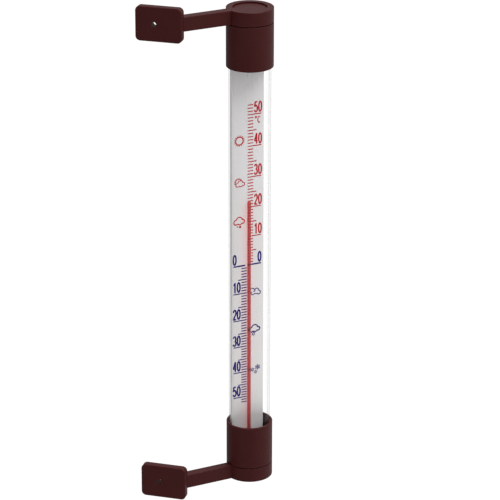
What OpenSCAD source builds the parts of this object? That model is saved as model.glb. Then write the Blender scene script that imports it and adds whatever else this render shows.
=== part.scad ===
// Outdoor window thermometer.
// A clear tube stands upright between two brown caps, each turning on a bent bracket.
// A white scale plate and a glass tube with red spirit stand inside the clear tube.
// Millimetres, +Z up. The window frame is the plane y = 0, and the object lies behind it, at y > 0.
// The origin is the middle of the upper screw hole, on the face that meets the window frame.

/* [Clear tube] */
// Outside diameter of the clear tube
tube_od = 20; // [18:0.5:30]
// Wall of the clear tube
tube_wall = 0.8; // [0.6:0.1:1]
// Length of the clear tube from end to end
tube_len = 202; // [150:1:320]
// Gap between the clear tube and the cap's socket, on each side
tube_fit = 0.1; // [0.05:0.01:0.2]

/* [Caps] */
// Wall of the cap round the clear tube
cap_wall = 0.9; // [0.8:0.1:2.5]
// Length of the cap's skirt
skirt_len = 21; // [20:0.5:40]
// How far the clear tube goes into the skirt
socket_depth = 12.2; // [8:0.2:12.4]
// Thickness of the web that closes the cap
cap_web = 2; // [1.5:0.1:2.4]
// Radius on the caps' and rings' outer edges
rim_edge = 0.3; // [0.1:0.05:0.4]

/* [Hub and ring] */
// Height of the bracket's ring and of its arm
ring_h = 6.8; // [6:0.2:12]
// Gap between the ring and the cap's end face
ring_gap = 0.3; // [0.2:0.05:0.6]
// Radius of the hub that the ring turns on
hub_r = 6.25; // [5:0.05:6.5]
// Running clearance between the hub and the ring, on each side
hub_fit = 0.05; // [0.02:0.01:0.08]
// How far the plug's head stands out over the hub
head_lip = 1.4; // [1:0.05:1.6]
// Thickness of the plug's head
head_t = 1.5; // [1:0.1:2]
// Gap between the plug's head and the ring
head_gap = 0.3; // [0.2:0.05:0.4]
// How deep the plug's head lies below the ring's face
head_recess = 0.6; // [0:0.1:1]
// Radius of the plug's stem
plug_r = 3; // [2:0.1:4]
// Length of the plug's stem
plug_len = 5; // [3:0.1:5.4]
// Gap between the plug's stem and its hole, on each side
plug_fit = 0.02; // [0.01:0.01:0.05]

/* [Bracket] */
// Width of the mounting plate
plate_w = 22; // [18:0.5:40]
// Height of the mounting plate
plate_h = 16.2; // [14:0.2:40]
// Thickness of the mounting plate
plate_t = 3.9; // [2.5:0.1:5]
// Radius of the plate's corners
plate_corner = 2.2; // [1.2:0.1:4]
// Radius on the plate's edges
plate_edge = 0.5; // [0.2:0.1:1]
// Distance from the plate's middle to its screw hole, away from the arm
hole_shift = 2.2; // [0:0.1:5]
// Diameter of the screw hole
hole_d = 2.4; // [2:0.1:4]
// Thickness of the arm
arm_t = 4.5; // [3:0.1:6]
// Radius on the arm's edges
arm_edge = 0.3; // [0.1:0.05:0.6]
// Distance from the tube's axis to the plate, along the arm's front face
arm_reach = 34.2; // [24:0.2:60]
// Angle between the arm's front face and the plate
arm_bend = 43.2; // [35:0.1:60]

/* [Scale plate] */
// Gap between the scale plate's rear edges and the clear tube
scale_fit = 0.05; // [0.03:0.01:0.3]
// How far the scale plate's face lies behind the tube's axis
scale_back = 2.05; // [1.6:0.05:2.8]
// Depth of the scale plate with its rear flanges
scale_depth = 2.2; // [1.4:0.1:3]
// Thickness of the scale plate's face and flanges
scale_t = 1; // [0.8:0.1:1.2]
// Direction that the scale faces, from the window towards +X
scale_facing = 41.4; // [0:0.1:90]
// Thickness of the pads at the scale plate's ends
pad_t = 3; // [2:0.1:3.2]
// Gap between the pads and the cap's wall
pad_fit = 0.2; // [0.1:0.05:0.4]

/* [Glass tube] */
// Outside radius of the glass stem
stem_r = 1.45; // [1.2:0.05:1.5]
// Radius of the bore in the glass stem
stem_bore_r = 0.88; // [0.5:0.01:0.95]
// Outside radius of the bulb
bulb_r = 2.6; // [2:0.1:3]
// Length of the bulb with its shoulder
bulb_len = 10; // [8:0.5:14]
// Wall of the bulb
bulb_wall = 0.5; // [0.3:0.05:0.7]
// Gap between the glass and what holds it
glass_fit = 0.05; // [0.03:0.01:0.1]
// Gap between the spirit and the glass
spirit_fit = 0.02; // [0.01:0.01:0.05]
// Height of the spirit's top above the tube's middle
spirit_top = 22.1; // [-60:0.1:80]
// How deep the spirit's top is hollowed
meniscus = 0.25; // [0.1:0.05:0.5]

/* [Stem clip] */
// Radius of the clip's wire
wire_r = 0.35; // [0.2:0.05:0.4]
// Distance from the scale plate's upper end to the clip
clip_drop = 8; // [4:0.5:14]

/* [Hidden] */

$fn = 96;
// A little more than a cut needs, so that it comes out clean
through = 1;

tube_r = tube_od / 2;
bore_r = tube_r - tube_wall;
socket_r = tube_r + tube_fit;
cap_r = socket_r + cap_wall;
// From the tube's end to the cap's end face
end_wall = skirt_len - socket_depth;
// From the cap's end face to the ring's outer face
ring_top = ring_gap + ring_h;
// From screw hole to screw hole
hole_pitch = tube_len + 2 * (end_wall + ring_gap + ring_h / 2);
// From the tube's middle to a cap's end face
cap_face = tube_len / 2 + end_wall;

// The ring is cut out to this depth and radius for the plug's head
head_r = hub_r + head_lip;
seat_depth = head_recess + head_t + head_gap;
seat_r = head_r + head_gap;
// The plug's head stands on the hub, a small gap above the seat
hub_h = ring_top - head_recess - head_t;

// The inner corner between the plate's back and the arm's front face
corner_x = plate_w / 2 + hole_shift;
axis_x = corner_x + arm_reach * cos(arm_bend) - arm_t / 2 * sin(arm_bend);
axis_y = plate_t + arm_reach * sin(arm_bend) + arm_t / 2 * cos(arm_bend);

scale_len = 2 * (cap_face - cap_web - pad_t);
// The scale plate is as wide as the clear tube lets its rear edges be
scale_w = 2 * sqrt(pow(bore_r - scale_fit, 2) - pow(scale_back + scale_depth, 2));
pad_r = bore_r - pad_fit;
// The stem stands against the scale plate's face
stem_y = scale_back - stem_r - glass_fit;
bulb_foot = -scale_len / 2;
stem_head = scale_len / 2 - glass_fit;
shoulder_len = bulb_r - stem_r;
slot_w = 2 * (bulb_r + glass_fit);
slot_h = bulb_len + glass_fit;
clip_z = scale_len / 2 - clip_drop;
// The wire goes round the stem at this radius
clip_r = stem_r + glass_fit + wire_r;

brown = [0.24, 0.12, 0.12];
clear = [0.92, 0.95, 0.97, 0.25];
white = [0.86, 0.86, 0.85];
glass = [0.85, 0.92, 0.95, 0.4];
red = [0.68, 0.12, 0.12];
steel = [0.72, 0.72, 0.74];
foam = [0.32, 0.32, 0.34];

// A rectangle with rounded corners, centred
module rounded_rect(a, b, r) {
  square([a, b - 2 * r], center = true);
  square([a - 2 * r, b], center = true);
  for (i = [-1, 1], j = [-1, 1])
    translate([i * (a / 2 - r), j * (b / 2 - r)])
      circle(r);
}

// A disc of radius r and height h, standing on z = 0, with rounded rims
module disc(r, h, edge) {
  rotate_extrude()
    intersection() {
      translate([0, h / 2])
        rounded_rect(2 * r, h, edge);
      square([r + through, h]);
    }
}

// A plate in the plane y = 0, growing to y = t, with rounded corners and edges
module rounded_plate(w, h, t, corner, edge) {
  translate([0, t / 2, 0]) {
    linear_extrude(h - 2 * corner, center = true)
      rounded_rect(w, t, edge);
    rotate([0, 90, 0])
      linear_extrude(w - 2 * corner, center = true)
        rounded_rect(h, t, edge);
  }
  for (i = [-1, 1], j = [-1, 1])
    translate([i * (w / 2 - corner), t, j * (h / 2 - corner)])
      rotate([90, 0, 0])
        disc(corner, t, edge);
}

// The arm, from the ring's wall to the plate's back
module arm() {
  start = (seat_r + cap_r) / 2;
  reach = arm_reach + arm_t / tan(arm_bend) + plate_t / sin(arm_bend);
  difference() {
    translate([axis_x, axis_y, 0])
      rotate([0, 0, 180 + arm_bend])
        translate([start, 0, 0])
          rotate([90, 0, 90])
            linear_extrude(reach - start)
              rounded_rect(arm_t, ring_h, arm_edge);
    translate([-reach, plate_t / 2 - reach, -reach])
      cube([3 * reach, reach, 2 * reach]);
  }
}

// The moulded bracket: mounting plate, bent arm and ring. Its ring opens upwards for the plug
module bracket() {
  color(brown)
    difference() {
      union() {
        translate([hole_shift, 0, 0])
          rounded_plate(plate_w, plate_h, plate_t, plate_corner, plate_edge);
        arm();
        translate([axis_x, axis_y, -ring_h / 2])
          disc(cap_r, ring_h, rim_edge);
      }
      translate([0, -through, 0])
        rotate([-90, 0, 0])
          cylinder(h = plate_t + 2 * through, d = hole_d);
      translate([axis_x, axis_y, -ring_h / 2 - through])
        cylinder(h = ring_h + 2 * through, r = hub_r + hub_fit);
      translate([axis_x, axis_y, ring_h / 2 - seat_depth])
        cylinder(h = seat_depth + through, r = seat_r);
    }
}

// The cap. Its end face is at z = 0, its hub stands up and its skirt hangs down
module cap() {
  color(brown)
    difference() {
      union() {
        translate([0, 0, -skirt_len])
          disc(cap_r, skirt_len, rim_edge);
        translate([0, 0, -cap_web / 2])
          cylinder(h = cap_web / 2 + hub_h, r = hub_r);
      }
      translate([0, 0, -skirt_len - through])
        cylinder(h = socket_depth + through, r = socket_r);
      translate([0, 0, -end_wall - through])
        cylinder(h = end_wall - cap_web + through, r = bore_r);
      translate([0, 0, hub_h - plug_len])
        cylinder(h = plug_len + through, r = plug_r + plug_fit);
    }
}

// The plug that holds the ring on the hub. Its head's underside is at z = 0
module hub_plug() {
  color(brown)
    union() {
      disc(head_r, head_t, rim_edge / 2);
      translate([0, 0, -plug_len])
        cylinder(h = plug_len + head_t / 2, r = plug_r);
    }
}

// The stem and bulb as one round shape, at a depth below the outer glass surface
module glass_shape(bulb_inset, stem_inset, top) {
  r_bulb = bulb_r - bulb_inset;
  r_stem = stem_r - stem_inset;
  ball_z = bulb_foot + bulb_r;
  neck_z = bulb_foot + bulb_len - shoulder_len;
  translate([0, 0, ball_z]) {
    sphere(r_bulb);
    cylinder(h = neck_z - ball_z, r = r_bulb);
  }
  translate([0, 0, neck_z])
    cylinder(h = shoulder_len, r1 = r_bulb, r2 = r_stem);
  translate([0, 0, neck_z])
    cylinder(h = top - neck_z, r = r_stem);
}

// Moves a child from the tube's own frame, with z = 0 at the tube's middle, to its place
module on_axis() {
  translate([axis_x, axis_y, -hole_pitch / 2])
    children();
}

// Moves a child that faces -Y from the scale's frame to its place
module behind_glass() {
  on_axis()
    rotate([0, 0, scale_facing])
      children();
}

module upper_bracket() {
  bracket();
}

module lower_bracket() {
  translate([0, 0, -hole_pitch])
    mirror([0, 0, 1])
      bracket();
}

module upper_cap() {
  on_axis()
    translate([0, 0, cap_face])
      cap();
}

module lower_cap() {
  on_axis()
    translate([0, 0, -cap_face])
      mirror([0, 0, 1])
        cap();
}

module upper_hub_plug() {
  on_axis()
    translate([0, 0, cap_face + hub_h])
      hub_plug();
}

module lower_hub_plug() {
  on_axis()
    translate([0, 0, -cap_face - hub_h])
      mirror([0, 0, 1])
        hub_plug();
}

module clear_tube() {
  color(clear)
    on_axis()
      translate([0, 0, -tube_len / 2])
        difference() {
          cylinder(h = tube_len, r = tube_r);
          translate([0, 0, -through])
            cylinder(h = tube_len + 2 * through, r = bore_r);
        }
}

// The scale plate is a shallow channel, open at the back, with a slot for the bulb
module scale_plate() {
  color(white)
    behind_glass()
      difference() {
        translate([0, scale_back, -scale_len / 2])
          linear_extrude(scale_len)
            difference() {
              translate([-scale_w / 2, 0])
                square([scale_w, scale_depth]);
              translate([-scale_w / 2 + scale_t, scale_t])
                square([scale_w - 2 * scale_t, scale_depth]);
            }
        translate([-slot_w / 2, 0, -scale_len / 2 - through])
          cube([slot_w, scale_back + scale_depth + through, slot_h + through]);
        for (i = [-1, 1])
          translate([i * clip_r, scale_back - through, clip_z])
            rotate([-90, 0, 0])
              cylinder(h = scale_t + 2 * through, r = wire_r + glass_fit);
      }
}

module glass_tube() {
  color(glass)
    behind_glass()
      translate([0, stem_y, 0])
        difference() {
          glass_shape(0, 0, stem_head);
          glass_shape(bulb_wall, stem_r - stem_bore_r, stem_head - stem_r);
        }
}

module red_spirit() {
  spirit_r = stem_bore_r - spirit_fit;
  hollow_r = (pow(spirit_r, 2) + pow(meniscus, 2)) / (2 * meniscus);
  color(red)
    behind_glass()
      translate([0, stem_y, 0])
        difference() {
          glass_shape(bulb_wall + spirit_fit, stem_r - spirit_r, spirit_top);
          translate([0, 0, spirit_top - meniscus + hollow_r])
            sphere(hollow_r);
        }
}

// A wire staple: half a ring round the stem, and two legs through the scale plate
module stem_clip() {
  leg = scale_back + scale_t + wire_r - stem_y;
  color(steel)
    behind_glass()
      translate([0, stem_y, clip_z]) {
        rotate([0, 0, 180])
          rotate_extrude(angle = 180)
            translate([clip_r, 0])
              circle(wire_r);
        for (i = [-1, 1])
          translate([i * clip_r, 0, 0])
            rotate([-90, 0, 0])
              cylinder(h = leg, r = wire_r);
      }
}

module end_pad() {
  color(foam)
    cylinder(h = pad_t, r = pad_r);
}

module upper_end_pad() {
  on_axis()
    translate([0, 0, scale_len / 2])
      end_pad();
}

module lower_end_pad() {
  on_axis()
    translate([0, 0, -scale_len / 2 - pad_t])
      end_pad();
}

upper_bracket();
upper_hub_plug();
upper_cap();
clear_tube();
scale_plate();
glass_tube();
red_spirit();
stem_clip();
upper_end_pad();
lower_end_pad();
lower_cap();
lower_hub_plug();
lower_bracket();
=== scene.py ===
# %% [markdown]
# # An outdoor window thermometer
#
# The thermometer is a clear tube between two brown caps. Each cap turns in the ring of a bent bracket,
# whose plate is screwed to the window frame. A white plate with the printed scale stands inside the
# tube, and in front of it stands a thin glass tube with red spirit.
#
# The hard parts come ready, as a fixed frame. This lesson gives them their finishes, prints the scale,
# and sets up the light and the camera. Lengths are metres, +Z is up, and the window frame is the plane
# y = 0, with the thermometer at y > 0.

# %% Load the fixed frame
import math

import bpy
from mathutils import Matrix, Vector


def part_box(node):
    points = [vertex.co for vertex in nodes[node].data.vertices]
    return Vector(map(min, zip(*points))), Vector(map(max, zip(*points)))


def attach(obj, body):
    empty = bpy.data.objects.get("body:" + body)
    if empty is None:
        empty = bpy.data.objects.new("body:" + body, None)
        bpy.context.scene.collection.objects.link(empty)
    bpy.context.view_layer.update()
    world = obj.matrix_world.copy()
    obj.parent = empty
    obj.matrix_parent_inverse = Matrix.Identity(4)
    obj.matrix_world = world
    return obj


MM = 0.001

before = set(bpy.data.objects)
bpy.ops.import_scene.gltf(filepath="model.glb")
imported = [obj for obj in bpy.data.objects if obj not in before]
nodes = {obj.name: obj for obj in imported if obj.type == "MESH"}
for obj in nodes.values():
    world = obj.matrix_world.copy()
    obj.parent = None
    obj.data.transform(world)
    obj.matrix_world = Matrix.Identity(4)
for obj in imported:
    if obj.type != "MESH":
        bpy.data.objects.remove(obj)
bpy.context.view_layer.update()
print("nodes:", ", ".join(sorted(nodes)))

# %% [markdown]
# ## The camera
#
# The photograph was taken from a little above, through a long lens, from the side of the window. The
# camera could be placed by eye, but a long lens makes small errors show, so its place is given from the
# tube's axis: the distance, the height over a fixed height near the tube's foot, and the angle that it
# looks down. The tube's axis and the lowest point are measured on the frame itself.

# %% Camera
tube_low, tube_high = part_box("clear_tube")
AXIS_X = (tube_low.x + tube_high.x) / 2
AXIS_Y = (tube_low.y + tube_high.y) / 2
FOOT_OVER_BRACKET = 4.7 * MM
FOOT_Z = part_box("lower_bracket")[0].z + FOOT_OVER_BRACKET

LENS = 201.69
SENSOR_WIDTH = 36
CAMERA_TURN = math.radians(16.2)
CAMERA_BACK = 1225.28 * MM
CAMERA_RISE = 589.49 * MM
LOOK_DOWN = math.radians(21.156)
HEADING_ERROR = math.radians(0.0084)
TILT = math.radians(0.079)


def turn(angle, axis):
    return Matrix.Rotation(angle, 4, axis)


bpy.ops.object.camera_add()
camera = bpy.context.object
camera.name = "camera"
camera.data.sensor_width = SENSOR_WIDTH
camera.data.lens = LENS
camera.matrix_world = (
    Matrix.Translation(
        (
            AXIS_X + CAMERA_BACK * math.sin(CAMERA_TURN),
            AXIS_Y - CAMERA_BACK * math.cos(CAMERA_TURN),
            FOOT_Z + CAMERA_RISE,
        )
    )
    @ turn(CAMERA_TURN - HEADING_ERROR, "Z")
    @ turn(math.pi / 2 - LOOK_DOWN, "X")
    @ turn(TILT, "Z")
)
bpy.context.scene.camera = camera
print("camera at", [round(x, 4) for x in camera.location], "foot at", round(FOOT_Z, 4))

# %% [markdown]
# ## Writing materials as sums
#
# A material is a web of nodes. Wiring it by hand in code is long and hard to read, so two small classes
# help. `Value` wraps one output and lets Python's own signs add Math nodes, so that `1 - mask` works.
# `Recipe` holds one material and has one method that adds any other node. The short methods under it,
# such as `noise` and `blend`, are the nodes that nearly every material needs.


# %% Value and Recipe
class Value:
    """One output of a material's nodes."""

    def __init__(self, recipe, socket):
        self.recipe = recipe
        self.socket = socket

    def math(self, operation, first, second):
        return self.recipe.node(
            "ShaderNodeMath", {"operation": operation}, {0: first, 1: second}
        )

    def __add__(self, other):
        return self.math("ADD", self, other)

    def __radd__(self, other):
        return self.math("ADD", other, self)

    def __sub__(self, other):
        return self.math("SUBTRACT", self, other)

    def __rsub__(self, other):
        return self.math("SUBTRACT", other, self)

    def __mul__(self, other):
        return self.math("MULTIPLY", self, other)

    def __rmul__(self, other):
        return self.math("MULTIPLY", other, self)

    def __pow__(self, other):
        return self.math("POWER", self, other)


class Recipe:
    """One material, written node by node."""

    def __init__(self, name):
        self.material = bpy.data.materials.new(name)
        self.material.use_nodes = True
        self.tree = self.material.node_tree
        self.tree.nodes.clear()

    def node(self, kind, settings=None, inputs=None, output=0):
        """Adds a node, sets it up, fills or links its inputs, and returns one output."""
        made = self.tree.nodes.new(kind)
        for key, value in (settings or {}).items():
            if key == "stops":
                ramp = made.color_ramp
                while len(ramp.elements) < len(value):
                    ramp.elements.new(0.5)
                for element, (position, colour) in zip(ramp.elements, value):
                    element.position = position
                    element.color = colour
            else:
                setattr(made, key, value)
        for key, value in (inputs or {}).items():
            if isinstance(value, Value):
                self.tree.links.new(value.socket, made.inputs[key])
            else:
                made.inputs[key].default_value = value
        return Value(self, made.outputs[output])

    def noise(self, scale, detail=2.0):
        """A soft random pattern, 0 to 1, fixed to the piece. Scale is in patches per metre."""
        place = self.node("ShaderNodeTexCoord", output="Object")
        return self.node(
            "ShaderNodeTexNoise",
            inputs={"Vector": place, "Scale": scale, "Detail": detail},
        )

    def blend(self, factor, first, second):
        """A colour between two colours."""
        return self.node(
            "ShaderNodeMix",
            {"data_type": "RGBA"},
            {0: factor, 6: first, 7: second},
            output=2,
        )

    def bump(self, height, strength, depth):
        return self.node(
            "ShaderNodeBump",
            inputs={"Height": height, "Strength": strength, "Distance": depth},
        )

    def surface(self, **inputs):
        """The general shader. Names of its inputs are written with _ for a space."""
        named = {key.replace("_", " "): value for key, value in inputs.items()}
        return self.node("ShaderNodeBsdfPrincipled", inputs=named)

    def mix(self, factor, first, second):
        return self.node("ShaderNodeMixShader", inputs={0: factor, 1: first, 2: second})

    def done(self, shader):
        end = self.tree.nodes.new("ShaderNodeOutputMaterial")
        self.tree.links.new(shader.socket, end.inputs["Surface"])
        print("material", self.material.name, "has", len(self.tree.nodes), "nodes")
        return self.material


def finish_node(material, *names):
    """Gives a material to nodes of the frame."""
    for name in names:
        nodes[name].data.materials.clear()
        nodes[name].data.materials.append(material)


def colour(red, green, blue):
    return (red, green, blue, 1.0)


def grey(level):
    return (level, level, level, 1.0)


# %% [markdown]
# ## Brown moulded plastic
#
# Brackets, caps and plugs are one dark reddish brown plastic with a satin face. One flat colour would
# look like paint on a screen. Real mouldings are a little cloudy, and their gloss changes over a few
# millimetres where the mould is worn. So a coarse noise moves the colour and the roughness a little,
# and a fine noise gives the face the faint grain of the mould.


# %% Brown plastic
def brown_plastic():
    r = Recipe("brown_plastic")
    cloud = r.noise(130, detail=3)
    grain = r.noise(2800)
    brown = r.blend(cloud, colour(0.0565, 0.0083, 0.0083), colour(0.0655, 0.0103, 0.0103))
    shader = r.surface(
        Base_Color=brown,
        Roughness=0.36 + 0.16 * cloud,
        IOR=1.5,
        Specular_IOR_Level=0.2,
        Normal=r.bump(grain, strength=0.25, depth=0.02 * MM),
    )
    return r.done(shader)


finish_node(
    brown_plastic(),
    "upper_bracket",
    "lower_bracket",
    "upper_cap",
    "lower_cap",
    "upper_hub_plug",
    "lower_hub_plug",
)

# %% [markdown]
# ## White plastic
#
# The scale plate is matt white plastic with a faint warm cast and a very fine grain. Its left side is
# painted a little greyer than its right side: painted shade, which the plain studio light doesn't give.
# A noise alone would give patches anywhere, so the place across the plate, a dot product with the
# direction that points to its right, leads this painted shade from side to side.


# %% White plastic
PLATE_TURN = math.radians(41.4)
across = (math.cos(PLATE_TURN), math.sin(PLATE_TURN), 0)
PLATE_HALF = 8 * MM


def white_plastic():
    r = Recipe("white_plastic")
    cloud = r.noise(90, detail=3)
    grain = r.noise(3200)
    place = r.node("ShaderNodeTexCoord", output="Object")
    side = r.node(
        "ShaderNodeVectorMath", {"operation": "DOT_PRODUCT"}, {0: place, 1: across}, "Value"
    )
    middle = AXIS_X * across[0] + AXIS_Y * across[1]
    # 0 at the plate's left edge and 1 at its right: the ramp of painted shade that greys the left side.
    painted_shade_ramp = r.node(
        "ShaderNodeMapRange",
        inputs={
            "Value": side,
            "From Min": middle - PLATE_HALF,
            "From Max": middle + PLATE_HALF,
        },
    )
    # Mostly painted shade from side to side, with a little random tone; it greys the white on the left.
    painted_shade_and_tone = 0.8 * painted_shade_ramp + 0.2 * cloud
    white = r.blend(painted_shade_and_tone, colour(0.715, 0.70, 0.70), colour(0.815, 0.80, 0.80))
    shader = r.surface(
        Base_Color=white,
        Roughness=0.42 + 0.12 * cloud,
        IOR=1.46,
        Specular_IOR_Level=0.3,
        Normal=r.bump(grain, strength=0.2, depth=0.01 * MM),
    )
    return r.done(shader)


finish_node(white_plastic(), "scale_plate")

# %% [markdown]
# ## Clear tube and glass
#
# Clear walls could be made with a glass shader, which bends the light at each face. It is slow, and it
# keeps the lamps from the scale inside. Walls this thin hardly shift what is behind them, so they are a
# see-through film instead. It is nearly nothing where it is seen straight on, has one thin grey line
# near the edge, where a real wall bends the light aside, and shines a little at the edge itself. The
# clear pieces throw no shadow, so all the light reaches the scale.


# %% Clear walls
HAZE_ENDS = 0.13
EDGE_STARTS = 0.05


def clear_wall(name, tint, haze, line_at, line, edge, gloss):
    """A see-through film with a grey line where it turns away from the eye."""
    r = Recipe(name)
    cloud = r.noise(60, detail=3)
    facing = r.node("ShaderNodeLayerWeight", inputs={"Blend": 0.5}, output="Facing")
    film = r.node(
        "ShaderNodeValToRGB",
        {
            "stops": [
                (0.0, grey(haze)),
                (line_at - HAZE_ENDS, grey(haze)),
                (line_at, grey(line)),
                (line_at + EDGE_STARTS, grey(edge)),
                (1.0, grey(edge)),
            ]
        },
        {"Fac": facing},
    )
    shine = r.node("ShaderNodeFresnel", inputs={"IOR": 1.2}) * gloss
    clear = r.node("ShaderNodeBsdfTransparent")
    mirror = r.node("ShaderNodeBsdfGlossy", inputs={"Roughness": 0.05})
    body = r.surface(Base_Color=tint, Roughness=0.15)
    return r.done(r.mix(film * (0.8 + 0.4 * cloud), r.mix(shine, clear, mirror), body))


finish_node(
    clear_wall(
        "clear_plastic", grey(0.3), haze=0.006, line_at=0.775, line=0.3, edge=0.03, gloss=0.06
    ),
    "clear_tube",
)
finish_node(
    clear_wall(
        "thermometer_glass", grey(0.9), haze=0.006, line_at=0.8, line=0.2, edge=0.3, gloss=0.05
    ),
    "glass_tube",
)
for name in ("clear_tube", "glass_tube"):
    nodes[name].visible_shadow = False
    nodes[name].visible_diffuse = False

# %% [markdown]
# ## Red spirit
#
# The spirit is a clear red liquid, and light that goes through it leaves a soft pink patch on the white
# plate: the column works as a lens and gathers red light there. A real glass shader can't throw that
# patch without much noise. So light sees the column as a pink film that even brightens the red a
# little, and the eye sees more body than filter, with the plate faint behind it. The real column also
# magnifies the ink that lies behind it: the blue zero marks and three blue symbols show as dark bands,
# and each red degree mark as a faint one. Here these are bands of the spirit's own colour. The degrees'
# heights follow a gentle curve, because the marks stand closer together low down, and the bands stand a
# little higher than the marks, in line with them for an eye that looks down from the camera.


# %% Bands on the spirit
ZERO_HEIGHT = -123.3
DEGREE_STEP = 1.418
DEGREE_GROWTH = 0.001357
SEEN_HIGHER = 0.84
INK_BEHIND = (
    (-122.45, 0.75, 1.0),
    (-135.9, 0.95, 0.5),
    (-155.6, 1.3, 1.0),
    (-176.3, 1.15, 0.85),
)


def dark_bands(r, height):
    """Where blue ink lies behind the spirit: bands of (height, reach in mm, strength)."""
    shade = 0.0
    for level, reach, strength in INK_BEHIND:
        away = r.node("ShaderNodeMath", {"operation": "ABSOLUTE"}, {0: height - level * MM})
        band = r.node(
            "ShaderNodeMapRange",
            {"interpolation_type": "SMOOTHSTEP"},
            {"Value": away, "From Max": reach * MM, "To Min": strength, "To Max": 0.0},
        )
        shade = band + shade
    return shade


def degree_bands(r, height):
    """A wave with one crest for each degree above zero, 0 to 1, and an even half below zero."""
    over_zero = r.node(
        "ShaderNodeMath",
        {"operation": "MAXIMUM"},
        {0: height * (1 / MM) - (ZERO_HEIGHT + SEEN_HIGHER), 1: 0.0},
    )
    root = (4 * DEGREE_GROWTH * over_zero + DEGREE_STEP**2) ** 0.5
    degree = (root - DEGREE_STEP) * (0.5 / DEGREE_GROWTH)
    wave = r.node("ShaderNodeMath", {"operation": "COSINE"}, {0: degree * math.tau})
    started = r.node("ShaderNodeMath", {"operation": "GREATER_THAN"}, {0: degree, 1: 0.5})
    return 0.5 + 0.5 * wave * started


# %% Red spirit
BODY_SHARE = 0.6


def red_spirit():
    r = Recipe("red_spirit")
    cloud = r.noise(220)
    place = r.node("ShaderNodeTexCoord", output="Object")
    height = r.node("ShaderNodeSeparateXYZ", inputs={"Vector": place}, output="Z")
    light_red = r.blend(cloud, colour(0.67, 0.13, 0.13), colour(0.71, 0.14, 0.14))
    body_red = r.blend(degree_bands(r, height), light_red, colour(0.43, 0.065, 0.065))
    shade = dark_bands(r, height)
    body = r.surface(
        Base_Color=r.blend(shade, body_red, colour(0.1, 0.04, 0.045)),
        Roughness=0.2,
        IOR=1.36,
        Specular_IOR_Level=0.3,
    )
    clear = r.node("ShaderNodeBsdfTransparent", inputs={"Color": colour(0.82, 0.35, 0.36)})
    glow = r.node("ShaderNodeBsdfTransparent", inputs={"Color": colour(1.1, 0.74, 0.74)})
    eye = r.node("ShaderNodeLightPath", output="Is Camera Ray")
    spirit = r.mix(BODY_SHARE + (1 - BODY_SHARE) * shade, clear, body)
    return r.done(r.mix(eye, glow, spirit))


finish_node(red_spirit(), "red_spirit")

# %% [markdown]
# ## Wire and foam
#
# A wire staple ties the stem to the plate, and foam discs hold the plate's ends. Both sit in the caps,
# so they are seen only through the tube from a low or a high angle. The wire has fine drawing marks
# along it, and the foam has small dark cells.


# %% Wire and foam
def steel_wire():
    r = Recipe("steel_wire")
    marks = r.noise(4000, detail=1)
    shader = r.surface(
        Base_Color=r.blend(marks, colour(0.42, 0.42, 0.43), colour(0.62, 0.62, 0.63)),
        Metallic=1.0,
        Roughness=0.28 + 0.15 * marks,
    )
    return r.done(shader)


def foam():
    r = Recipe("foam")
    place = r.node("ShaderNodeTexCoord", output="Object")
    cells = r.node("ShaderNodeTexVoronoi", inputs={"Vector": place, "Scale": 1400})
    shader = r.surface(
        Base_Color=r.blend(cells, colour(0.03, 0.03, 0.032), colour(0.1, 0.1, 0.105)),
        Roughness=0.95,
        Normal=r.bump(cells, strength=0.6, depth=0.1 * MM),
    )
    return r.done(shader)


finish_node(steel_wire(), "stem_clip")
finish_node(foam(), "upper_end_pad", "lower_end_pad")

# %% [markdown]
# ## The printed scale
#
# The scale is red and blue ink on the white plate: red above zero on the right of the stem, and blue
# below zero on the left. It could be an image, but then it would blur close up. Here each line is a real
# layer of ink, a fortieth of a millimetre thick, so it stays sharp and its edge catches the light.
#
# The ink is drawn flat first, with x across the plate and y up, and then laid on the plate's face. The
# plate is turned about the tube's axis by `PLATE_TURN`, so `ON_PLATE` turns the drawing as far, stands
# it up and sets it down.

# %% The plate's own frame
PLATE_BACK = 2.05 * MM
PRINT_SHIFT = -0.29 * MM
INK = 0.025 * MM
INK_LIFT = 0.6 * INK

outward = (math.sin(PLATE_TURN), -math.cos(PLATE_TURN), 0)
ON_PLATE = Matrix(
    (
        (across[0], 0, outward[0], AXIS_X - PLATE_BACK * outward[0]),
        (across[1], 0, outward[1], AXIS_Y - PLATE_BACK * outward[1]),
        (0, 1, 0, 0),
        (0, 0, 0, 1),
    )
) @ Matrix.Translation((PRINT_SHIFT, 0, INK_LIFT))
print("the plate faces", [round(x, 3) for x in outward])

# %% [markdown]
# ## Ink
#
# Printing ink is matt and slightly uneven, thinner in spots where the screen let less through.


# %% Inks
def ink(name, thin, full):
    r = Recipe(name)
    spots = r.noise(1500, detail=3)
    shader = r.surface(
        Base_Color=r.blend(spots, thin, full),
        Roughness=0.5 + 0.2 * spots,
        Specular_IOR_Level=0.15,
        Normal=r.bump(spots, strength=0.3, depth=0.005 * MM),
    )
    return r.done(shader)


RED_INK = ink("red_ink", colour(0.54, 0.022, 0.032), colour(0.47, 0.013, 0.022))
BLUE_INK = ink("blue_ink", colour(0.02, 0.006, 0.2), colour(0.012, 0.004, 0.15))


def lay_on_plate(piece, material):
    """Lays a flat drawing on the plate, and lets it ride with the tube."""
    piece.matrix_world = ON_PLATE
    bpy.ops.object.select_all(action="DESELECT")
    piece.select_set(True)
    bpy.context.view_layer.objects.active = piece
    bpy.ops.object.transform_apply(location=True, rotation=True, scale=True)
    piece.data.materials.clear()
    piece.data.materials.append(material)
    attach(piece, "thermometer")
    print(piece.name, "has", len(piece.data.polygons), "faces")
    return piece


# %% [markdown]
# ## Degree marks
#
# There is a mark for each degree, a longer one for each fifth and the longest for each tenth. The marks
# stand closer together low down, because the spirit swells a little more with each warm degree. So
# their heights follow the same gentle curve as the spirit's bands, and an array with even steps won't
# do. One mark is modelled: a plane, raised to the ink's thickness. It is then copied to each degree and
# stretched to its length, and the copies are joined into one piece.

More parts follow.
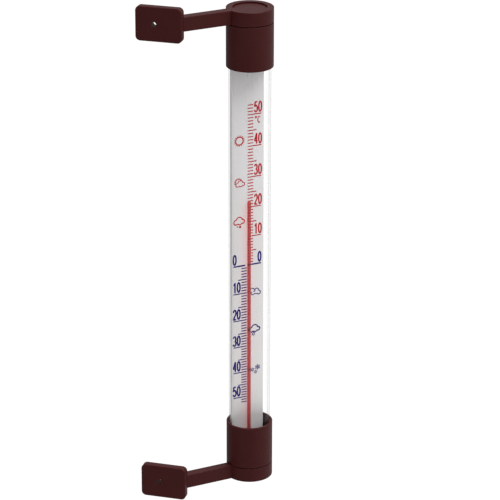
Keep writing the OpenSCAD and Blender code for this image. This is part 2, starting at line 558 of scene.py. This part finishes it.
# %% Degree marks
MARK_START = 0.2
MARK_LENGTHS = {10: 7.13, 5: 4.69, 1: 3.03}
MARK_WIDTH = 0.49
ZERO_WIDTH = 0.7
ZERO_STOP = -1.05
MARKS_ABOVE = 53
MARKS_BELOW = 52


def height_at(degree):
    """The height of a degree on the plate, in millimetres."""
    return ZERO_HEIGHT + DEGREE_STEP * degree + DEGREE_GROWTH * degree**2


def mark_end(degree):
    for step in (10, 5, 1):
        if degree % step == 0:
            return MARK_LENGTHS[step]


def first_mark(name):
    """A flat bar from x = 0 to 1 mm and 1 mm wide, as thick as the ink."""
    bpy.ops.object.select_all(action="DESELECT")
    bpy.ops.mesh.primitive_plane_add(size=MM, location=(MM / 2, 0, 0))
    bpy.ops.object.transform_apply(location=True)
    bpy.ops.object.mode_set(mode="EDIT")
    bpy.ops.mesh.extrude_region_move(TRANSFORM_OT_translate={"value": (0, 0, INK)})
    bpy.ops.mesh.select_all(action="SELECT")
    bpy.ops.mesh.normals_make_consistent(inside=False)
    bpy.ops.object.mode_set(mode="OBJECT")
    bpy.context.object.name = name
    return bpy.context.object


def row_of_marks(name, marks, material):
    """Marks as (start, end, height, width), in millimetres, joined into one piece."""
    pattern = first_mark(name + "_pattern")
    copies = []
    for start, end, height, width in marks:
        copy = pattern.copy()
        copy.data = pattern.data.copy()
        copy.location = (start * MM, height * MM, 0)
        copy.scale = (end - start, width, 1)
        bpy.context.collection.objects.link(copy)
        copies.append(copy)
    bpy.data.objects.remove(pattern)
    bpy.ops.object.select_all(action="DESELECT")
    for copy in copies:
        copy.select_set(True)
    bpy.context.view_layer.objects.active = copies[0]
    bpy.ops.object.transform_apply(location=True, rotation=True, scale=True)
    bpy.ops.object.join()
    row = bpy.context.object
    row.name = name
    bpy.ops.object.mode_set(mode="EDIT")
    bpy.ops.mesh.select_all(action="SELECT")
    bpy.ops.mesh.normals_make_consistent(inside=False)
    bpy.ops.object.mode_set(mode="OBJECT")
    return lay_on_plate(row, material)


row_of_marks(
    "red_degree_marks",
    [
        (MARK_START, mark_end(d), height_at(d), MARK_WIDTH)
        for d in range(1, MARKS_ABOVE + 1)
    ],
    RED_INK,
)
row_of_marks(
    "blue_degree_marks",
    [
        (-mark_end(d), -MARK_START, height_at(-d), MARK_WIDTH)
        for d in range(1, MARKS_BELOW + 1)
    ],
    BLUE_INK,
)
row_of_marks(
    "zero_marks",
    [
        (-MARK_LENGTHS[10], ZERO_STOP, height_at(0), ZERO_WIDTH),
        (MARK_START, MARK_LENGTHS[10], height_at(0), ZERO_WIDTH),
    ],
    BLUE_INK,
)

# %% [markdown]
# ## Strokes
#
# Numerals and symbols are lines of one width, so they are drawn as a pen draws them. A path is given
# points, the path's bevel makes it as thick as the pen, and the round strokes are pressed flat to the
# thickness of the ink. Ready letters from a font would be too wide for the narrow plate.


# %% Strokes
SAME_POINT = 0.0005 * MM


def arc(x, y, across_r, up_r, start, end, steps=14):
    """Points along part of an ellipse, with angles in degrees, counted from the right."""
    angles = [math.radians(start + (end - start) * i / steps) for i in range(steps + 1)]
    return [(x + across_r * math.cos(a), y + up_r * math.sin(a)) for a in angles]


def ring(x, y, across_r, up_r, steps=28):
    """A closed ellipse: its last point is its first."""
    points = arc(x, y, across_r, up_r, 0, 360, steps)
    return points[:-1] + points[:1]


def moved(strokes, x, y, across_k=1.0, up_k=1.0):
    return [[(x + a * across_k, y + b * up_k) for a, b in points] for points in strokes]


def ink_strokes(name, strokes, width, material):
    """Presses strokes of one width flat on the plate. Points and width are millimetres."""
    bpy.ops.object.select_all(action="DESELECT")
    bpy.ops.curve.primitive_nurbs_path_add()
    drawing = bpy.context.object
    drawing.name = name
    path = drawing.data
    path.splines.clear()
    for points in strokes:
        closed = points[0] == points[-1]
        used = points[:-1] if closed else points
        spline = path.splines.new("POLY")
        spline.points.add(len(used) - 1)
        for point, (x, y) in zip(spline.points, used):
            point.co = (x * MM, y * MM, 0, 1)
        spline.use_cyclic_u = closed
    path.fill_mode = "FULL"
    path.bevel_depth = width / 2 * MM
    path.bevel_resolution = 1
    path.use_fill_caps = True
    bpy.ops.object.convert(target="MESH")
    piece = bpy.context.object
    bpy.ops.object.mode_set(mode="EDIT")
    bpy.ops.mesh.select_all(action="SELECT")
    bpy.ops.mesh.remove_doubles(threshold=SAME_POINT)
    bpy.ops.mesh.normals_make_consistent(inside=False)
    bpy.ops.transform.resize(value=(1, 1, INK / (width * MM)), center_override=(0, 0, 0))
    bpy.ops.object.mode_set(mode="OBJECT")
    bpy.ops.object.shade_flat()
    return lay_on_plate(piece, material)


# %% [markdown]
# ## Numerals
#
# The numerals are narrow and upright, about two and a half times as tall as wide. Each digit is drawn
# once in a box one wide and one high, and a number is its digits side by side. Where a pen would turn a
# sharp corner, the digit has two strokes that overlap, because a single path pinches there.

# %% Numerals
DIGITS = {
    "0": [ring(0.5, 0.5, 0.5, 0.5)],
    "1": [[(0.62, 1.04), (0.62, -0.04)], [(0.62, 1.0), (0.38, 0.84), (0.1, 0.76)]],
    "2": [
        arc(0.5, 0.71, 0.48, 0.29, 170, -28) + [(0.5, 0.3), (0.0, 0.0)],
        [(-0.06, 0.0), (1.04, 0.0)],
    ],
    "3": [
        arc(0.46, 0.75, 0.46, 0.25, 165, -90),
        arc(0.46, 0.26, 0.52, 0.26, 95, -165),
    ],
    "4": [
        [(0.74, 1.04), (0.74, -0.04)],
        [(0.7, 1.0), (0.0, 0.3)],
        [(-0.06, 0.27), (1.08, 0.27)],
    ],
    "5": [
        [(0.12, 1.0), (0.95, 1.0)],
        [(0.14, 1.03), (0.06, 0.5)],
        [(0.06, 0.5)] + arc(0.46, 0.33, 0.52, 0.33, 128, -160),
    ],
}
DIGIT_WIDTH = 1.38
DIGIT_HEIGHT = 4.8
DIGIT_STEP = 2.1
PEN = 0.75
BLUE_PEN = 0.78
NUMBER_RISE = 0.95
RED_NUMBER_AT = 3.75
BLUE_NUMBER_AT = -7.2
RIGHT_ZERO_AT = 5.7
NUMBERS = (10, 20, 30, 40, 50)


def number(text, x, y):
    """Strokes of a number, with its lower left corner at x, y."""
    strokes = []
    for i, digit in enumerate(text):
        strokes += moved(DIGITS[digit], x + i * DIGIT_STEP, y, DIGIT_WIDTH, DIGIT_HEIGHT)
    return strokes


def above(degree):
    return height_at(degree) + NUMBER_RISE


red_numbers = []
blue_numbers = number("0", BLUE_NUMBER_AT, above(0)) + number("0", RIGHT_ZERO_AT, above(0))
for n in NUMBERS:
    red_numbers += number(str(n), RED_NUMBER_AT, above(n))
    blue_numbers += number(str(n), BLUE_NUMBER_AT, above(-n))
ink_strokes("red_numerals", red_numbers, PEN, RED_INK)
ink_strokes("blue_numerals", blue_numbers, BLUE_PEN, BLUE_INK)

UNIT_PEN = 0.48
LETTER_X = 5.95
LETTER_Y = -51.95
letter = arc(LETTER_X, LETTER_Y, across_r=0.62, up_r=1.5, start=45, end=315)
degree_ring = ring(LETTER_X - 1.6, LETTER_Y + 1.3, across_r=0.36, up_r=0.42, steps=14)
ink_strokes("celsius_sign", [letter, degree_ring], UNIT_PEN, RED_INK)

# %% [markdown]
# ## Weather symbols
#
# Small symbols beside the stem say what weather goes with each warmth: sun, sun with cloud, and rain in
# red, and cloud, sleet and snow in blue. A cloud is three bulges over a wavy foot. Where one thing
# stands in front of another, the hidden part of the line is simply not drawn.

# %% Rays and clouds
def rays(x, y, inner, outer, count, start=0, end=360):
    """Short strokes that point away from a middle, with angles in degrees."""
    strokes = []
    for i in range(count):
        a = math.radians(start + (end - start) * i / count)
        near = (inner * math.cos(a), inner * math.sin(a))
        far = (outer * math.cos(a), outer * math.sin(a))
        strokes.append([(x + near[0], y + near[1]), (x + far[0], y + far[1])])
    return strokes


def cloud(x, y, half_width, half_height):
    """A closed cloud with its middle at x, y."""
    outline = (
        arc(0.03, 0.35, 0.53, 0.65, 170, -4, 12)
        + arc(0.66, -0.22, 0.34, 0.52, 107, -120, 12)
        + arc(0.1, -0.66, 0.36, 0.34, -5, -157, 8)
        + arc(-0.62, -0.35, 0.38, 0.6, -50, -262, 11)
    )
    return moved([outline + outline[:1]], x, y, half_width, half_height)


# %% Sun and rain
SYMBOL_PEN = 0.47
BOLD_PEN = 0.56
RAY_PEN = 0.4
DROP_PEN = 0.88

SUN = (-4.05, -61.15)
SUN_RADIUS = 1.9
SUN_RAY_ENDS = (2.15, 2.75)
SUN_RAYS = 16

HALF_SUN = (-4.5, -81.5)
HALF_SUN_RADIUS = 1.7
HALF_SUN_RAY_ENDS = (1.85, 2.2)
HALF_SUN_RAYS = 7

ink_strokes("sun_symbol", [ring(*SUN, SUN_RADIUS, SUN_RADIUS)], BOLD_PEN, RED_INK)
sun_rays = rays(*SUN, *SUN_RAY_ENDS, SUN_RAYS, start=4, end=364)
sun_rays += rays(*HALF_SUN, *HALF_SUN_RAY_ENDS, HALF_SUN_RAYS, start=45, end=220)
ink_strokes("sun_rays", sun_rays, RAY_PEN, RED_INK)

half_sun = arc(*HALF_SUN, HALF_SUN_RADIUS, HALF_SUN_RADIUS, start=35, end=205, steps=16)
sun_cloud = cloud(x=-3.6, y=-82.2, half_width=2.3, half_height=1.5)
ink_strokes("sun_cloud_symbol", [half_sun] + sun_cloud, SYMBOL_PEN, RED_INK)

rain_cloud = cloud(x=-4.15, y=-100.6, half_width=2.75, half_height=1.85)
ink_strokes("rain_symbol", rain_cloud, BOLD_PEN, RED_INK)
drops = [
    [(-4.95, -103.2), (-5.1, -103.65)],
    [(-3.6, -103.05), (-3.95, -104.1)],
    [(-3.6, -103.05), (-3.55, -104.15)],
]
ink_strokes("rain_drops", drops, DROP_PEN, RED_INK)

# %% Clouds and sleet
SLEET_PEN = 0.64

near_cloud = [
    arc(2.6, -136.5, 1.0, 0.95, 150, 20, 8),
    arc(3.45, -136.8, 0.62, 0.58, 80, -115, 8),
]
far_cloud = [
    arc(4.9, -136.98, 1.1, 1.1, 160, 12, 9)
    + arc(6.0, -138.1, 0.92, 0.9, 75, -100, 9)
    + arc(4.9, -138.2, 0.7, 0.5, -50, -130, 4)
    + arc(3.0, -138.0, 0.95, 0.92, -25, -225, 10)
]
ink_strokes("clouds_symbol", near_cloud + far_cloud, SYMBOL_PEN, BLUE_INK)

sleet_cloud = cloud(x=3.85, y=-156.2, half_width=2.75, half_height=1.8)
ink_strokes("sleet_symbol", sleet_cloud, SLEET_PEN, BLUE_INK)

# %% [markdown]
# ## Snow
#
# A snowflake has six arms, and each arm forks. At the size of a millimetre the fork would fill with
# ink, so the small flakes are a ring with six short arms.

# %% Snow
FLAKE_PEN = 0.3
ARMS = 6
FIRST_ARM = 30
FORK_AT = 0.5
FORK_LENGTH = 0.35
FORK_TURN = math.radians(50)
RING_SHARE = 0.42
SHORT_ARM_FROM = 0.4
LARGE_FLAKE = (5.5, -176.55, 1.5)
SMALL_FLAKES = (
    (4.5, -178.9, 1.0),
    (2.85, -177.5, 1.1),
    (1.3, -177.2, 1.0),
    (3.25, -158.95, 1.2),
)


def arms(x, y, inner, outer):
    return rays(x, y, inner, outer, ARMS, FIRST_ARM, FIRST_ARM + 360)


def flake(x, y, size):
    """Six arms from a middle, each with a pair of short side arms."""
    strokes = arms(x, y, 0.0, size)
    for i in range(ARMS):
        a = math.radians(FIRST_ARM + 360 / ARMS * i)
        fork = (x + size * FORK_AT * math.cos(a), y + size * FORK_AT * math.sin(a))
        for side in (-1, 1):
            b = a + side * FORK_TURN
            tip_x = fork[0] + size * FORK_LENGTH * math.cos(b)
            tip_y = fork[1] + size * FORK_LENGTH * math.sin(b)
            strokes.append([fork, (tip_x, tip_y)])
    return strokes


def small_flake(x, y, size):
    """A ring with six arms, for a flake too small to show its side arms."""
    middle = ring(x, y, size * RING_SHARE, size * RING_SHARE, steps=12)
    return [middle] + arms(x, y, size * SHORT_ARM_FROM, size)


ink_strokes("large_flake", flake(*LARGE_FLAKE), FLAKE_PEN, BLUE_INK)
snow = []
for place in SMALL_FLAKES:
    snow += small_flake(*place)
ink_strokes("small_flakes", snow, FLAKE_PEN, BLUE_INK)

# %% [markdown]
# ## Floor, light and world
#
# The photograph has a plain white ground. A white sheet lies well below the thermometer, which hangs
# on its screw, so that no shadow reaches the picture. The sky is lightest overhead, which makes the
# tops lighter than the sides and darkens the scale under the upper cap, as in the photograph. One wide
# lamp, high on the right, draws out the round shapes and throws the pink patch beside the column.
#
# The world is white to the eye. For reflections it is lightest behind the thermometer and on the right,
# and dark on the camera's side, as in a studio with a lit backdrop.


# %% The studio walls
TO_RIGHT = (math.cos(CAMERA_TURN), math.sin(CAMERA_TURN), 0)
TO_EYE = (math.sin(CAMERA_TURN), -math.cos(CAMERA_TURN), 0)
WALL_LEVEL = 0.22
WALL_BEHIND = 0.25
WALL_RIGHT = 0.2
WALL_LEAST = 0.03


def along(recipe, way, axis):
    """How far a direction points along an axis: from -1 to 1."""
    return recipe.node(
        "ShaderNodeVectorMath", {"operation": "DOT_PRODUCT"}, {0: way, 1: axis}, "Value"
    )


def studio_wall(recipe, way):
    """How light the studio looks to a glossy face: lightest behind and on the right."""
    behind = WALL_LEVEL - WALL_BEHIND * along(recipe, way, TO_EYE)
    level = behind + WALL_RIGHT * along(recipe, way, TO_RIGHT)
    return recipe.node("ShaderNodeClamp", inputs={"Value": level, "Min": WALL_LEAST})


# %% Floor
WHITE_TO_THE_EYE = 1.07
SHOWN_SHARE = 0.9
FLOOR_SIZE = 9
FLOOR_DROP = 0.3


def floor_white():
    r = Recipe("floor_white")
    place = r.node("ShaderNodeTexCoord", output="Object")
    patches = r.noise(3)
    eye = r.node("ShaderNodeLightPath", output="Is Camera Ray")
    gloss = r.node("ShaderNodeLightPath", output="Is Glossy Ray")
    flat = r.node("ShaderNodeVectorMath", {"operation": "MULTIPLY"}, {0: place, 1: (1, 1, 0)})
    way = r.node("ShaderNodeVectorMath", {"operation": "NORMALIZE"}, {0: flat})
    level = WHITE_TO_THE_EYE * eye + gloss * studio_wall(r, way)
    shown = r.node("ShaderNodeEmission", inputs={"Color": grey(1), "Strength": level})
    sheet = r.surface(
        Base_Color=r.blend(patches, grey(0.80), grey(0.84)),
        Roughness=0.8,
    )
    return r.done(r.mix(SHOWN_SHARE * eye + gloss, sheet, shown))


bpy.ops.object.select_all(action="DESELECT")
bpy.ops.mesh.primitive_plane_add(size=FLOOR_SIZE, location=(0, 0, FOOT_Z - FLOOR_DROP))
floor = bpy.context.object
floor.name = "floor"
floor.data.materials.append(floor_white())


# %% Lamp
def lamp(name, turned, raised, distance, size, watts):
    """A square lamp that looks at the tube's middle. Turned is degrees to the camera's right."""
    angle = CAMERA_TURN + math.radians(turned)
    rise = math.radians(raised)
    middle = (tube_low + tube_high) / 2
    way = Matrix.Rotation(angle, 4, "Z") @ Matrix.Rotation(-rise, 4, "X")
    bpy.ops.object.light_add(type="AREA")
    made = bpy.context.object
    made.name = name
    made.data.size = size
    made.data.energy = watts
    made.matrix_world = (
        Matrix.Translation(middle)
        @ way
        @ Matrix.Translation((0, -distance, 0))
        @ Matrix.Rotation(math.pi / 2, 4, "X")
    )
    print(name, "at", [round(x, 2) for x in made.location])


lamp("key_lamp", turned=60, raised=64, distance=2.6, size=2.0, watts=46)

# %% World
SKY_LOW = 0.16
SKY_RISE = 0.9

world = bpy.data.worlds.new("studio")
bpy.context.scene.world = world
world.use_nodes = True


class Sky(Recipe):
    """The same helper, for the world's own nodes."""

    def __init__(self, target):
        self.tree = target.node_tree
        self.tree.nodes.clear()


sky = Sky(world)
way = sky.node("ShaderNodeTexCoord", output="Generated")
upward = along(sky, way, (0, 0, 1))
eye_ray = sky.node("ShaderNodeLightPath", output="Is Camera Ray")
gloss_ray = sky.node("ShaderNodeLightPath", output="Is Glossy Ray")
overhead = sky.node("ShaderNodeClamp", inputs={"Value": upward})
soft = SKY_LOW + SKY_RISE * overhead
level = gloss_ray * studio_wall(sky, way) + (1 - gloss_ray) * soft
level = eye_ray + (1 - eye_ray) * level
glow = sky.node("ShaderNodeBackground", inputs={"Color": grey(1), "Strength": level})
world_out = sky.tree.nodes.new("ShaderNodeOutputWorld")
sky.tree.links.new(glow.socket, world_out.inputs["Surface"])
bpy.context.scene.view_settings.view_transform = "Standard"
